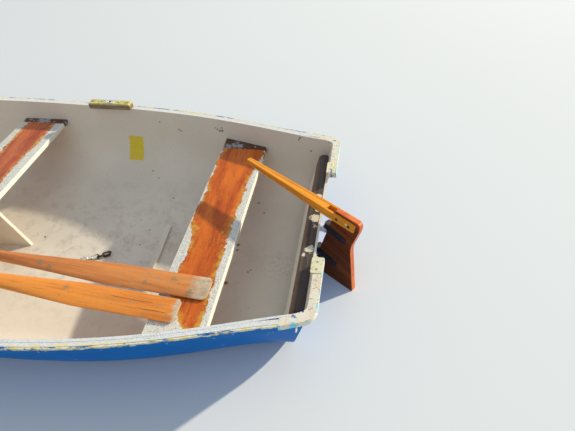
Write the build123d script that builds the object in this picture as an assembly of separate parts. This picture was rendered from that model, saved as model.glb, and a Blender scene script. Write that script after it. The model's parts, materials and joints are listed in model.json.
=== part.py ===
from build123d import *
from math import atan2, cos, degrees, hypot, radians, sin, sqrt, tan
import os

# An open glass-fibre sailing dinghy with a hung rudder, a pivoting centreboard,
# a free-standing mast and a pair of oars laid on the thwarts.
# Millimetres. X runs forward, Y to port, Z up. The origin is on the waterline and
# the centreline, straight below the aft edge of the gunwale.

# Hull form
length = 3150                 # aft edge of the corner caps to the tip of the bow cap
beam = 1380                   # over the rubbing strakes
transom_beam = 898            # over the strakes at the aft edge
beam_station = 0.4825 * length    # where the beam is greatest
aft_fullness = 2.1            # how the side curves in towards the transom
bow_fullness = 2.6            # how the side curves in towards the stem
freeboard = 300               # gunwale above the waterline at the transom
sheer_low_station = length / 3
sheer_drop = 22
bow_rise = 120
sheer_power = 2.5
transom_set_in = 22           # transom face ahead of the gunwale's aft edge
transom_rake = 15             # degrees, foot forward
hull_wall = 6
transom_wall = 8
stem_solid = 22               # solid length behind the stem
inside_lift = 40              # the inside's form runs on above the gunwale

# Gunwale and rubbing strake
rim_width = 20
rim_depth = 24
rim_lap = 2.5                 # how far the rim's root lies inside the skin
rim_fall = 0.6                # the rim's top below the skin's edge
strake_width = 7
strake_depth = 32
cap_reach_forward = 110       # the corner cap's run along the side
cap_reach_inboard = 232       # from the side to the block at the cap's end
cap_width = 30
cap_block_width = 40
cap_block_length = 65
cap_block_rise = 2
cap_radius = 55
notch_half_width = 212
notch_depth = 50
bow_cap_reach = 95
bow_cap_thickness = 30
bow_cap_crown = 4             # stands above the gunwale's end
bow_cap_set_in = 4            # its root inside the strakes
bow_cap_tip = 14              # half width of its front end
bow_cap_radius = 12

# Keel
keel_width = 34
keel_drop = 34
keel_run_out = 0.4            # share of the drop by which its front end rises into the hull
skeg_drop = 95
skeg_length = 320
skeg_gap = 3                  # skeg ahead of the transom's plane
runner_width = 22
runner_sole = -76             # height of the runner's flat underside
runner_offset = 250
runner_length = 1150
stem_band_width = 24
stem_band_thickness = 4
stem_band_short = 2           # its foot above the hull's
stem_band_gap = 6             # under the bow cap
bow_eye_drop = 190            # eye below the gunwale, along the stem
bow_eye_ring = (12, 4)        # radius of the ring and of its wire
bow_eye_plate = (14, 3)       # radius and thickness
bow_eye_out = 17              # middle of the ring ahead of the stem band

# Inside
doubler_thickness = 40
doubler_height = 200
doubler_half_width = 396
doubler_end_radius = 14
doubler_set_down = 1          # top below the notch's foot, clear under the tiller
doubler_top = freeboard - notch_depth - doubler_set_down
thwart_top = 190
thwart_thickness = 22
stern_thwart_aft = 352
stern_thwart_width = 209
mast_from_bow = 700
mast_station = length - mast_from_bow
mast_thwart_width = 230
mast_thwart_aft = mast_station - mast_thwart_width / 2
case_length = 570
case_to_mast_thwart = 35
case_aft = mast_thwart_aft - case_to_mast_thwart - case_length
centre_thwart_width = 243
centre_thwart_to_case = 17
centre_thwart_aft = case_aft - centre_thwart_to_case - centre_thwart_width
thwart_edge_radius = 4
web_thickness = 15
web_foot_out = 58             # the upright web's foot aft of the centre thwart's edge
web_head_in = 11              # its head ahead of that edge
web_toe = (4, -75)            # lean of the upright stretch by the floor, and its top
riser_depth = 26
riser_thickness = 18
riser_set_back = 12           # a bearer's end inside the thwart's edge
rib_aft = 768
rib_width = 26
rib_height = 12
rib_half_length = 170

# Centreboard and its case
case_wall = 12
case_end = 18
case_gap = 24
case_top = 135
case_cap_width = 92
case_cap_thickness = 20
case_cap_radius = 18
board_thickness = 14
board_clearance = 6
board_top = 100
board_corner = (60, 50)       # the cut at the top's front corner
board_low = -98
board_pivot_inset = 57        # pivot to the front of the slot
board_pivot_height = -46
board_pin_radius = 6
board_pin_stand_out = 4
lever_height = 85
lever_root = 10               # how far the lever's foot lies in the board
lever_width = 40
lever_travel = 130

# Mast
sheave_slot = (10, 60)        # width and height, through the masthead fore and aft
sheave_drop = 50              # middle of the slot below the masthead
mast_radius = 28
masthead_radius = 17
mast_height = 2700            # masthead above the waterline
mast_taper_start = 900
mast_gap = 1.0
step_length = 150
step_width = 110
step_height = 60
step_sole = 14
heel_radius = 20

# Rudder, measured along and across its own raked axis
rudder_axis_out = 29          # pintle axis behind the transom face
rudder_turn = 35              # degrees, tiller to starboard
rudder_thickness = 24
rudder_front = 12             # front edge behind the axis
head_aft = 125
head_top_front = 32
head_top_aft = 54
head_radius = 14
waist_radius = 90
foot_radius = 45
waist_aft = 124
waist_height = -72
blade_aft = 255
blade_widest = -400
blade_foot = -630
pin_radius = 5
pin_clearance = 0.3
ring_radius = 10
strap_thickness = 3
strap_height = 24
strap_nose_radius = 9
pin_below_ring = 8
upper_strap_height = -62
upper_strap_length = 96
lower_strap_height = -200
lower_strap_length = 104
gudgeon_plate_width = 80
gudgeon_plate_radius = 8
gudgeon_seat_gap = 1

# Tiller
tiller_tip = 452
tiller_droop = 11             # degrees below square to the axis
tiller_root_height = 6        # middle of the tiller at the axis
slat_short_of_head = 14       # the slats stop short of the head's aft edge
slat_thickness = 11
slat_depth_root = 30
slat_depth_tip = 20
slat_tip_thickness = 9
slat_bend = 20                # ahead of the axis, where the slats begin to close
slat_tip_gap = 1.2            # half the space between them at the tip
core_short = 4                # the packing starts ahead of the bend
core_fit = 0.2                # its clearance to the slats
core_set_in = 1               # its edges inside theirs

# Oars
oar_stow = 320                # the oars are this much shorter than the mast's place, to lie inside
oar_length = mast_station - oar_stow
oar_shaft_radius = 21
oar_grip_radius = 15
oar_grip_length = 140
oar_blade_length = 820
oar_blade_width = 96
oar_blade_tip_thickness = 9
oar_tip_radius = 22
oar_blade_lift = 3            # the hollow under a blade that rests on its edge
# Laid oars: the blade's tip and a point on the shaft ahead of it, each as X and Y.
laid_oars = {
    "oar_inboard": ((385, 320), (1200, 281)),
    "oar_outboard": ((466, 418), (1160, 384)),
}

# Rowlock pads
rowlock_aft = 292             # the pin aft of the centre thwart's edge
rowlock_station = centre_thwart_aft - rowlock_aft
pad_length = 224
pad_width = 36
pad_height = 32
pad_end_chamfer = 6
pad_inset = 36                # pad's middle inside the strake's outer face
sleeve_outer_radius = 9
rowlock_bore_radius = 6.5

# Chain
chain_wire_radius = 3.2
chain_inner_length = 25
chain_inner_width = 10.5
chain_links = 6
chain_slack = 0.3
chain_wire_sides = 12
chain_bend_steps = 8          # straight steps round each end of a link
chain_lift = 1.5              # a tilted link above the sloping floor
chain_start = (1017, 21)
chain_end = (1136, 87)

# Hook outside the port quarter
hook_station = 62
hook_height = 238
hook_wire_radius = 2.6
hook_ring_radius = 9
hook_stem = 16

seat_gap = 0.3


def half_beam(x):
    """Half the breadth over the strakes at gunwale height."""
    half = beam / 2
    if x < beam_station:
        return half - (half - transom_beam / 2) * (1 - x / beam_station) ** aft_fullness
    return half * (1 - ((x - beam_station) / (length - beam_station)) ** bow_fullness)


def flare(x):
    """Length of gunwale per length of X, which widens a strip measured across it."""
    step = 1.0
    slope = (half_beam(x + step) - half_beam(x - step)) / (2 * step) if x > step else 0
    return sqrt(1 + slope * slope)


def sheer(x):
    """Height of the gunwale's top."""
    low = freeboard - sheer_drop
    if x < sheer_low_station:
        return low + sheer_drop * ((sheer_low_station - x) / sheer_low_station) ** 2
    rise = (bow_rise + sheer_drop) * ((x - sheer_low_station) / (length - sheer_low_station)) ** sheer_power
    return low + rise


# Stations: gunwale X, tilt of the section's plane in degrees (head forward), depth
# along that plane, bilge corner as a share of the half breadth, its height above the
# keel, and the bilge radius.
stations = [
    (transom_set_in, -transom_rake, 357, 0.945, 55, 130),
    (0.159 * length, -8, 357, 0.945, 62, 190),
    (0.333 * length, 0, 366, 0.94, 75, 230),
    (0.508 * length, 0, 373, 0.93, 85, 240),
    (0.683 * length, 3, 392, 0.90, 100, 220),
    (0.825 * length, 10, 412, 0.80, 125, 160),
    (0.921 * length, 16, 440, 0.62, 150, 80),
    (0.9825 * length, 20, 400, 0.70, 150, 20),
]


def station_plane(x, tilt):
    up = Vector(sin(radians(tilt)), 0, cos(radians(tilt)))
    normal = Vector(0, 1, 0).cross(up)
    return Plane(origin=(x, 0, sheer(x)), x_dir=(0, 1, 0), z_dir=normal)


def hull_section(x, tilt, depth, bilge_out, bilge_up, bilge_radius, inset, lift):
    """Closed section of straight topsides, round bilges and a V bottom."""
    spread = flare(x)
    top = half_beam(x) - spread * (rim_width + strake_width - hull_wall + inset)
    bilge = bilge_out * (half_beam(x) - spread * (rim_width + strake_width - hull_wall)) - inset
    keel = -depth + inset * 1.03
    corner = (bilge, keel + bilge_up)
    points = [(top, lift), corner, (0, keel), (-corner[0], corner[1]), (-top, lift)]
    face = make_face(Polyline(*points, close=True))
    corners = [v for v in face.vertices() if abs(v.Y - corner[1]) < 1e-3]
    face = fillet(corners, max(bilge_radius - inset, 5))
    return station_plane(x, tilt) * face


def hull_body(inset, start_shift, end_shift, lift):
    rows = [list(row) for row in stations]
    rows[0][0] += start_shift
    rows[-1][0] -= end_shift
    return loft([hull_section(*row, inset, lift) for row in rows])


def side_strip(start, inner, outer, top, bottom):
    """A strip along the port gunwale, between two distances inside the strake's face."""
    xs = [start] + [row[0] for row in stations[1:]]
    faces = []
    for x in xs:
        spread = flare(x)
        y0 = max(half_beam(x) - spread * inner, 1)
        y1 = half_beam(x) - spread * outer
        z = sheer(x)
        low, high = z - bottom, z - top
        ring = Polyline((x, y0, low), (x, y1, low), (x, y1, high), (x, y0, high), close=True)
        faces.append(make_face(ring))
    return loft(faces) - bow_cap()


def corner_cap(side):
    """The gunwale's turn round the corner on to the transom, with its end block."""
    end = cap_reach_forward
    outer = transom_beam / 2
    inner_end = outer - cap_reach_inboard
    side_out = half_beam(end)
    side_in = side_out - rim_width - strake_width
    points = [(0, inner_end), (0, outer), (end, side_out), (end, side_in),
              (cap_width, outer - cap_width), (cap_width, inner_end)]
    face = make_face(Polyline(*points, close=True))
    corner = face.vertices().sort_by_distance((0, outer, 0))[0]
    face = fillet(corner, cap_radius)
    inside = face.vertices().sort_by_distance((cap_width, outer - cap_width, 0))[0]
    face = fillet(inside, cap_radius / 2)
    fall = degrees(atan2(freeboard - sheer(end), end))
    solid = extrude(Pos(0, 0, -rim_depth) * face, rim_depth, dir=(0, 0, 1))
    middle = (cap_block_width / 2, inner_end + cap_block_length / 2, (cap_block_rise - rim_depth) / 2)
    block = Pos(*middle) * Box(cap_block_width, cap_block_length, rim_depth + cap_block_rise)
    solid += fillet(block.edges().filter_by(Axis.Z), cap_radius / 10)
    solid = Pos(0, 0, freeboard) * Rot(0, fall, 0) * solid
    return solid if side > 0 else mirror(solid, about=Plane.XZ)


def bow_cap():
    """A cast cap over the meeting of the two gunwales."""
    root = length - bow_cap_reach
    half = half_beam(root) - bow_cap_set_in
    points = [(root, half), (root, -half), (length, -bow_cap_tip), (length, bow_cap_tip)]
    face = make_face(Polyline(*points, close=True))
    tips = face.vertices().sort_by(Axis.X)[-2:]
    face = fillet(tips, bow_cap_radius)
    z = sheer(length)
    return extrude(Pos(0, 0, z - bow_cap_thickness) * face, bow_cap_thickness + bow_cap_crown, dir=(0, 0, 1))


def across(x0, x1, z0, z1, width=2 * beam):
    """A plain board right across the boat, to be trimmed by the hull."""
    return Pos((x0 + x1) / 2, 0, (z0 + z1) / 2) * Box(x1 - x0, width, z1 - z0)


def profile_board(points, thickness):
    """A board standing on the centreline with the given XZ outline."""
    face = make_face(Polyline(*[(x, 0, z) for x, z in points], close=True))
    return extrude(face, thickness / 2, dir=(0, 1, 0), both=True)


outer_hull = hull_body(0, 0, 0, 0)
inner_hull = hull_body(hull_wall, transom_wall / cos(radians(transom_rake)), stem_solid, inside_lift)


def floor_height(x, y):
    """Height of the inside skin under a point."""
    hits = inner_hull.find_intersection_points(Axis((x, y, -500), (0, 0, 1)))
    return min(point.Z for point, _ in hits)


# The rudder's own frame: Z up its axis, X forward and square to it, Y to port.
axis_foot = Vector(transom_set_in, 0, sheer(transom_set_in)) - Vector(cos(radians(transom_rake)), 0,
                                                          sin(radians(transom_rake))) * rudder_axis_out
stern_frame = Pos(*axis_foot) * Rot(0, -transom_rake, 0)
rudder_frame = stern_frame * Rot(0, 0, -rudder_turn)

slot = Pos(case_aft + case_length / 2, 0, 0) * Box(case_length - 2 * case_end, case_gap, beam)


def hull_shell():
    rim_root = rim_width + strake_width - hull_wall + rim_lap
    rim = side_strip(cap_reach_forward, rim_root, strake_width, rim_fall, rim_depth)
    solid = outer_hull + rim + mirror(rim, about=Plane.XZ)
    notch = Pos(0, 0, freeboard) * Box(cap_reach_inboard, 2 * notch_half_width, 2 * notch_depth)
    return solid - inner_hull - bow_cap() - notch - corner_cap(1) - corner_cap(-1) - slot


hull = hull_shell()


def strake(side):
    strip = side_strip(cap_reach_forward, strake_width - seat_gap, 0, 1, strake_depth)
    return strip if side > 0 else mirror(strip, about=Plane.XZ)


def keel_point(row):
    """X and Z of the hull's bottom on the centreline at a station."""
    x, tilt, depth = row[:3]
    return x - depth * sin(radians(tilt)), sheer(x) - depth * cos(radians(tilt))


def keel_strip():
    """The outside keel, deepened to a skeg aft and tapered out at the forefoot."""
    def stern_x(z):
        return transom_set_in + (sheer(transom_set_in) - z) * tan(radians(transom_rake)) + skeg_gap

    foot = keel_point(stations[0])[1] - skeg_drop
    inside = freeboard / 5
    outline = [(stern_x(inside), inside), (stern_x(foot), foot), (stern_x(foot) + skeg_length, foot)]
    for row, share in ((stations[2], 1), (stations[4], 1), (stations[5], 0.7), (stations[6], -keel_run_out)):
        x, z = keel_point(row)
        outline.append((x, z - share * keel_drop))
    outline.append((outline[-1][0], inside))
    return profile_board(outline, keel_width) - outer_hull - slot


def bilge_runner(side):
    bar = Pos(beam_station, side * runner_offset, runner_sole / 2) * Box(
        runner_length, runner_width, -runner_sole)
    return bar - outer_hull


def stem_band():
    x, tilt, depth = stations[-1][:3]
    head = (bow_cap_thickness + stem_band_gap) / cos(radians(tilt)) + stem_band_short
    band_length = depth - stem_band_short - head
    bar = Pos(stem_band_thickness / 2, 0, -head - band_length / 2) * Box(
        stem_band_thickness, stem_band_width, band_length)
    return Pos(x, 0, sheer(x)) * Rot(0, tilt, 0) * bar


def doubler():
    """A raked board across the transom's inside, its top planed level below the tiller's sweep."""
    face_in = rudder_axis_out + transom_wall
    foot = (doubler_top - freeboard) / cos(radians(transom_rake)) - doubler_height
    rise = doubler_height + doubler_thickness
    board = Pos(face_in + doubler_thickness / 2, 0, foot + rise / 2) * Box(
        doubler_thickness, 2 * doubler_half_width, rise)
    board = fillet(board.edges().filter_by(Axis.Z), doubler_end_radius)
    above = Pos(0, 0, doubler_top + beam) * Box(2 * beam, 2 * beam, 2 * beam)
    return (stern_frame * board - above) & inner_hull


def thwart(aft, width):
    board = across(aft, aft + width, thwart_top - thwart_thickness, thwart_top)
    edges = [e for e in board.edges().filter_by(Axis.Y)]
    return fillet(edges, thwart_edge_radius) & inner_hull


def mast_thwart():
    hole = Pos(mast_station, 0, thwart_top) * Cylinder(mast_radius + mast_gap, 4 * thwart_thickness)
    return thwart(mast_thwart_aft, mast_thwart_width) - hole


def centre_web():
    under = thwart_top - thwart_thickness
    lean, toe_top = web_toe
    foot = centre_thwart_aft - web_foot_out
    head = centre_thwart_aft + web_head_in
    board = profile_board([(foot, -freeboard), (foot + lean, toe_top), (head, under),
                           (case_aft, under), (case_aft, -freeboard)], web_thickness)
    return board & inner_hull


def on_skin(solid, thickness):
    """What a solid has within a thickness of the hull's inside."""
    clear = hull_body(hull_wall + thickness, transom_wall + thickness, stem_solid + thickness, inside_lift)
    return (solid & inner_hull) - clear


def riser(side):
    """The short bearers moulded on the side under the ends of the thwarts."""
    under = thwart_top - thwart_thickness
    bearers = []
    for aft, width in ((stern_thwart_aft, stern_thwart_width), (centre_thwart_aft, centre_thwart_width),
                       (mast_thwart_aft, mast_thwart_width)):
        slab = Pos(aft + width / 2, side * beam / 4, under - riser_depth / 2) * Box(
            width - 2 * riser_set_back, beam / 2, riser_depth)
        bearers.append(on_skin(slab, riser_thickness))
    return Compound(children=[solid for bearer in bearers for solid in bearer.solids()])


def floor_rib():
    """A low rib moulded across the floor, for the rower's heels."""
    slab = Pos(rib_aft + rib_width / 2, 0, -freeboard / 4) * Box(
        rib_width, 2 * rib_half_length, freeboard / 2)
    return on_skin(slab, rib_height)


def centreboard_case():
    box = Pos(case_aft + case_length / 2, 0, 0) * Box(case_length, case_gap + 2 * case_wall, 2 * case_top)
    body = (box & inner_hull) - slot
    pivot_x = case_aft + case_length - case_end - board_pivot_inset
    pin = Pos(pivot_x, 0, board_pivot_height) * Rot(90, 0, 0) * Cylinder(board_pin_radius, case_cap_width)
    return body - pin


def case_cap():
    plank = Pos(case_aft + case_length / 2, 0, case_top + case_cap_thickness / 2) * Box(
        case_length, case_cap_width, case_cap_thickness)
    edges = plank.edges().filter_by(Axis.Z)
    plank = fillet(edges, case_cap_radius)
    lever_run = Pos(case_aft + case_end + lever_travel / 2, 0, case_top)
    lever_slot = lever_run * Box(lever_travel, case_gap, 4 * case_cap_thickness)
    return plank - lever_slot


board_pivot = (case_aft + case_length - case_end - board_pivot_inset, board_pivot_height)


def centreboard():
    px, pz = board_pivot
    aft = case_aft + case_end + board_clearance
    front = case_aft + case_length - case_end - board_clearance
    nose = front - px
    reach = px - aft
    cut, drop = board_corner
    points = [(px, pz), (px, pz - nose), (aft, board_low), (aft, board_top), (front - cut, board_top),
              (front, board_top - drop), (front, pz)]
    plate = profile_board(points, board_thickness)
    plate += Pos(px, 0, pz) * Rot(90, 0, 0) * Cylinder(nose, board_thickness)
    lever_top = board_top + lever_height
    lever_x = px - sqrt(reach ** 2 - (lever_top - pz) ** 2)
    lever_run = lever_height + lever_root
    plate += Pos(lever_x + lever_width / 2, 0, lever_top - lever_run / 2) * Box(
        lever_width, board_thickness, lever_run)
    plate &= Pos(px, 0, pz) * Rot(90, 0, 0) * Cylinder(reach, 2 * board_thickness)
    hole = Pos(px, 0, pz) * Rot(90, 0, 0) * Cylinder(board_pin_radius + pin_clearance, 2 * board_thickness)
    return plate - hole


def centreboard_pin():
    px, pz = board_pivot
    width = case_gap + 2 * (case_wall + board_pin_stand_out)
    return Pos(px, 0, pz) * Rot(90, 0, 0) * Cylinder(board_pin_radius, width)


def mast_step():
    floor = floor_height(mast_station, 0)
    block = Pos(mast_station, 0, floor) * Box(step_length, step_width, 2 * step_height)
    hole = Pos(mast_station, 0, floor + step_sole + step_height / 2) * Cylinder(
        heel_radius + mast_gap, step_height)
    return (block & inner_hull) - hole


def mast():
    floor = floor_height(mast_station, 0)
    heel = floor + step_sole + seat_gap
    shoulder = floor + step_height + 2 * mast_gap
    face = make_face(Polyline((0, 0, heel), (heel_radius, 0, heel), (heel_radius, 0, shoulder),
                              (mast_radius, 0, shoulder), (mast_radius, 0, mast_taper_start),
                              (masthead_radius, 0, mast_height), (0, 0, mast_height), close=True))
    width, height = sheave_slot
    sheave = Pos(0, 0, mast_height - sheave_drop) * Box(4 * mast_radius, width, height)
    return Pos(mast_station, 0, 0) * (revolve(face, Axis.Z) - sheave)


def rudder_board():
    front = -rudder_front
    # Outline along and up the axis, with the radius that rounds each corner.
    outline = [(front, head_top_front, 4), (-head_aft + 4, head_top_aft, head_radius),
               (-head_aft - 2, head_top_aft - 34, head_radius), (-waist_aft, waist_height, waist_radius),
               (-blade_aft + 8, blade_widest + 60, waist_radius),
               (-blade_aft + 6, blade_foot + 60, foot_radius), (-blade_aft + 70, blade_foot, foot_radius),
               (front - 60, blade_foot + 14, foot_radius),
               (front, blade_foot + 120, foot_radius)]
    face = make_face(Polyline(*[(x, z) for x, z, _ in outline], close=True))
    for x, z, radius in outline:
        corner = face.vertices().sort_by_distance((x, z, 0))[0]
        face = fillet(corner, radius)
    plate = extrude(face, rudder_thickness / 2, dir=(0, 0, 1), both=True)
    return rudder_frame * Rot(90, 0, 0) * plate


def pintle(height, reach):
    """A bent strap round the rudder's front edge, with the pin below it."""
    width = rudder_thickness + 2 * strap_thickness
    z = height
    bar = Pos((ring_radius - reach) / 2, 0, z) * Box(reach + ring_radius, width, strap_height)
    gap = Pos(-rudder_front - reach / 2, 0, z) * Box(reach, rudder_thickness, 2 * strap_height)
    strap = bar - gap
    nose_edges = [e for e in strap.edges().filter_by(Axis.Z) if e.center().X > 0]
    strap = fillet(nose_edges, strap_nose_radius)
    pin_length = strap_height + gudgeon_seat_gap + pin_below_ring
    strap += Pos(0, 0, z - strap_height / 2 - pin_length / 2) * Cylinder(pin_radius, pin_length)
    return rudder_frame * strap


def gudgeon(height):
    """A plate on the transom with the ring that the pin drops into."""
    z = height - strap_height - gudgeon_seat_gap
    plate = Pos(rudder_axis_out - strap_thickness / 2, 0, z) * Box(
        strap_thickness, gudgeon_plate_width, strap_height)
    plate = fillet(plate.edges().filter_by(Axis.X), gudgeon_plate_radius)
    arm = Pos(rudder_axis_out / 2, 0, z) * Box(rudder_axis_out, 2 * ring_radius, strap_height)
    arm += Pos(0, 0, z) * Cylinder(ring_radius, strap_height)
    arm -= Pos(0, 0, z) * Cylinder(pin_radius + pin_clearance, 2 * strap_height)
    return stern_frame * (plate + arm)


def tiller_slat(side):
    """One of the two slats, beside the head at the root and together at the tip."""
    root_in = rudder_thickness / 2
    sections = []
    for x, near, thick, deep in ((slat_short_of_head - head_aft, root_in, slat_thickness, slat_depth_root),
                                 (slat_bend, root_in, slat_thickness, slat_depth_root),
                                 (tiller_tip, slat_tip_gap, slat_tip_thickness, slat_depth_tip)):
        y0, y1 = side * near, side * (near + thick)
        half = deep / 2
        ring = Polyline((x, y0, -half), (x, y1, -half), (x, y1, half), (x, y0, half), close=True)
        sections.append(make_face(ring))
    slat = loft(sections[:2], ruled=True) + loft(sections[1:], ruled=True)
    return rudder_frame * Pos(0, 0, tiller_root_height) * Rot(0, tiller_droop, 0) * slat


def tiller_core():
    """The packing that fills the space between the slats ahead of the head."""
    start = slat_bend + core_short
    closing = (rudder_thickness / 2 - slat_tip_gap) / (tiller_tip - slat_bend)
    near = rudder_thickness / 2 - closing * core_short - core_fit
    sections = []
    tip = slat_tip_gap - core_fit / 2
    for x, half_width, deep in ((start, near, slat_depth_root),
                                (tiller_tip - core_set_in, tip, slat_depth_tip)):
        half = deep / 2 - core_set_in
        ring = Polyline((x, -half_width, -half), (x, half_width, -half), (x, half_width, half),
                        (x, -half_width, half), close=True)
        sections.append(make_face(ring))
    core = loft(sections, ruled=True)
    return rudder_frame * Pos(0, 0, tiller_root_height) * Rot(0, tiller_droop, 0) * core


def oar():
    """Blade tip at the origin, shaft along X, blade flat in XY, drawn out of the shaft in one taper."""
    shaft_end = oar_length - oar_grip_length
    shaft = Pos((oar_blade_length + shaft_end) / 2, 0, 0) * Rot(0, 90, 0) * Cylinder(
        oar_shaft_radius, shaft_end - oar_blade_length)
    grip = Pos(shaft_end + oar_grip_length / 2, 0, 0) * Rot(0, 90, 0) * Cylinder(
        oar_grip_radius, oar_grip_length)
    half_width, half_tip = oar_blade_width / 2, oar_blade_tip_thickness / 2
    # Share of the blade's length, half width and half thickness.
    sections = [(0, 0.96 * half_width, half_tip), (0.45, half_width, 1.6 * half_tip),
                (0.8, 0.64 * half_width, 3 * half_tip), (1, oar_shaft_radius, oar_shaft_radius)]
    faces = []
    for share, wide, thick in sections:
        plane = Plane(origin=(share * oar_blade_length, 0, 0), x_dir=(0, 1, 0), z_dir=(1, 0, 0))
        faces.append(plane * Ellipse(wide, thick))
    blade = loft(faces, ruled=True)
    tip = Pos(oar_blade_width / 2, 0, 0) * RectangleRounded(oar_blade_width, oar_blade_width, oar_tip_radius)
    tip += Pos(oar_blade_width / 2 + oar_length / 2, 0, 0) * Rectangle(oar_length, 2 * oar_blade_width)
    blade &= extrude(tip, oar_shaft_radius * 2, both=True)
    return shaft + grip + blade


def laid_oar(tip, ahead):
    """An oar with its blade on the stern thwart and its shaft on the centre thwart."""
    run = hypot(ahead[0] - tip[0], ahead[1] - tip[1])
    heading = degrees(atan2(ahead[1] - tip[1], ahead[0] - tip[0]))
    blade_rest = oar_blade_tip_thickness / 2 + oar_blade_lift
    low = thwart_top + blade_rest + seat_gap
    high = thwart_top + oar_shaft_radius + seat_gap
    reach = centre_thwart_aft - tip[0]
    climb = degrees(atan2(high - low, reach))
    return Pos(tip[0], tip[1], low) * Rot(0, 0, heading) * Rot(0, -climb, 0) * oar()


def rowlock_pad(side):
    x = rowlock_station
    y = side * (half_beam(x) - pad_inset)
    z = sheer(x)
    block = Pos(x, y, z + pad_height / 2) * Box(pad_length, pad_width, pad_height)
    block = chamfer(block.edges().filter_by(Axis.Y).group_by(Axis.Z)[-1], pad_end_chamfer)
    return block - outer_hull - hull - Pos(x, y, z) * Cylinder(sleeve_outer_radius, 4 * pad_height)


def rowlock_sleeve(side):
    x = rowlock_station
    y = side * (half_beam(x) - pad_inset)
    top = sheer(x) + pad_height
    tube = Pos(x, y, top - pad_height / 2) * Cylinder(sleeve_outer_radius, pad_height)
    return tube - hull - Pos(x, y, top) * Cylinder(rowlock_bore_radius, 4 * pad_height)


def bow_eye():
    x, tilt = stations[-1][:2]
    plate_radius, plate_thickness = bow_eye_plate
    eye = Pos(bow_eye_out, 0, 0) * Rot(90, 0, 0) * Torus(*bow_eye_ring)
    eye += Pos(plate_thickness / 2, 0, 0) * Rot(0, 90, 0) * Cylinder(plate_radius, plate_thickness)
    return Pos(x, 0, sheer(x)) * Rot(0, tilt, 0) * Pos(stem_band_thickness, 0, -bow_eye_drop) * eye


def quarter_hook():
    """A bent-wire hook screwed into the side below the port corner cap."""
    line = Axis((hook_station, beam, hook_height), (0, -1, 0))
    skin = max(point.Y for point, _ in outer_hull.find_intersection_points(line))
    stem = Pos(0, hook_stem / 2, 0) * Rot(90, 0, 0) * Cylinder(hook_wire_radius, hook_stem)
    bend = revolve(Plane.XZ * Pos(hook_ring_radius, 0, 0) * Circle(hook_wire_radius), Axis.Z, 270)
    hook = stem + Pos(-hook_ring_radius, hook_stem, 0) * bend
    return Pos(hook_station, skin - hook_wire_radius, hook_height) * Rot(0, -90, 0) * hook - outer_hull


def chain_link():
    """One welded link: a stadium of wire, mitred round its bends, made as two like halves."""
    mid = chain_inner_width / 2 + chain_wire_radius
    half = (chain_inner_length - chain_inner_width) / 2
    turn = 180 / chain_bend_steps
    mitre = 1 / cos(radians(turn / 2))
    wire = []
    for i in range(chain_wire_sides):
        angle = radians(360 * i / chain_wire_sides)
        wire.append((chain_wire_radius * mitre * cos(angle), chain_wire_radius * sin(angle)))
    sections = []
    for i in range(chain_bend_steps + 1):
        angle = radians(-90 + turn / 2 + i * turn)
        end = half if i < chain_bend_steps else -half
        out = Vector(cos(angle), sin(angle), 0)
        plane = Plane(origin=Vector(end, 0, 0) + out * mid * mitre, x_dir=out,
                      z_dir=(-sin(angle), cos(angle), 0))
        sections.append(plane * make_face(Polyline(*wire, close=True)))
    run = loft(sections, ruled=True)
    return run + Rot(0, 0, 180) * run


def chain():
    """Links laid on the floor, each turned a quarter to the next."""
    link = chain_link()
    reach = chain_inner_width / 2 + chain_wire_radius
    dx, dy = chain_end[0] - chain_start[0], chain_end[1] - chain_start[1]
    heading = degrees(atan2(dy, dx))
    run = hypot(dx, dy)
    pitch = chain_inner_length - 2 * chain_slack
    links = []
    for i in range(chain_links):
        along = i * pitch
        x = chain_start[0] + dx / run * along
        y = chain_start[1] + dy / run * along
        z = floor_height(x, y) + reach * sin(radians(45)) + chain_wire_radius + chain_lift
        turn = 45 if i % 2 else -45
        links.append(Pos(x, y, z) * Rot(0, 0, heading) * Rot(turn, 0, 0) * link)
    return Compound(children=links)


pieces = {
    "hull_shell": hull,
    "strake_port": strake(1),
    "strake_starboard": strake(-1),
    "corner_cap_port": corner_cap(1),
    "corner_cap_starboard": corner_cap(-1),
    "bow_cap": bow_cap(),
    "keel_strip": keel_strip(),
    "bilge_runner_port": bilge_runner(1),
    "bilge_runner_starboard": bilge_runner(-1),
    "stem_band": stem_band(),
    "bow_eye": bow_eye(),
    "transom_doubler": doubler(),
    "thwart_stern": thwart(stern_thwart_aft, stern_thwart_width),
    "thwart_centre": thwart(centre_thwart_aft, centre_thwart_width),
    "thwart_mast": mast_thwart(),
    "riser_port": riser(1),
    "riser_starboard": riser(-1),
    "floor_rib": floor_rib(),
    "centre_web": centre_web(),
    "centreboard_case": centreboard_case(),
    "case_cap": case_cap(),
    "centreboard_pin": centreboard_pin(),
    "centreboard": centreboard(),
    "mast_step": mast_step(),
    "mast": mast(),
    "gudgeon_upper": gudgeon(upper_strap_height),
    "gudgeon_lower": gudgeon(lower_strap_height),
    "rudder_board": rudder_board(),
    "pintle_upper": pintle(upper_strap_height, upper_strap_length),
    "pintle_lower": pintle(lower_strap_height, lower_strap_length),
    "tiller_slat_port": tiller_slat(1),
    "tiller_slat_starboard": tiller_slat(-1),
    "tiller_core": tiller_core(),
    **{name: laid_oar(tip, ahead) for name, (tip, ahead) in laid_oars.items()},
    "rowlock_pad_port": rowlock_pad(1),
    "rowlock_pad_starboard": rowlock_pad(-1),
    "rowlock_sleeve_port": rowlock_sleeve(1),
    "rowlock_sleeve_starboard": rowlock_sleeve(-1),
    "quarter_hook": quarter_hook(),
    "chain": chain(),
}

os.makedirs("parts", exist_ok=True)
for name, piece in pieces.items():
    export_step(piece, f"parts/{name}.step")
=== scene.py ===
import json
from math import cos, pi, radians, sin

import bmesh
import bpy
from mathutils import Matrix, Vector
from mathutils.bvhtree import BVHTree

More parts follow.
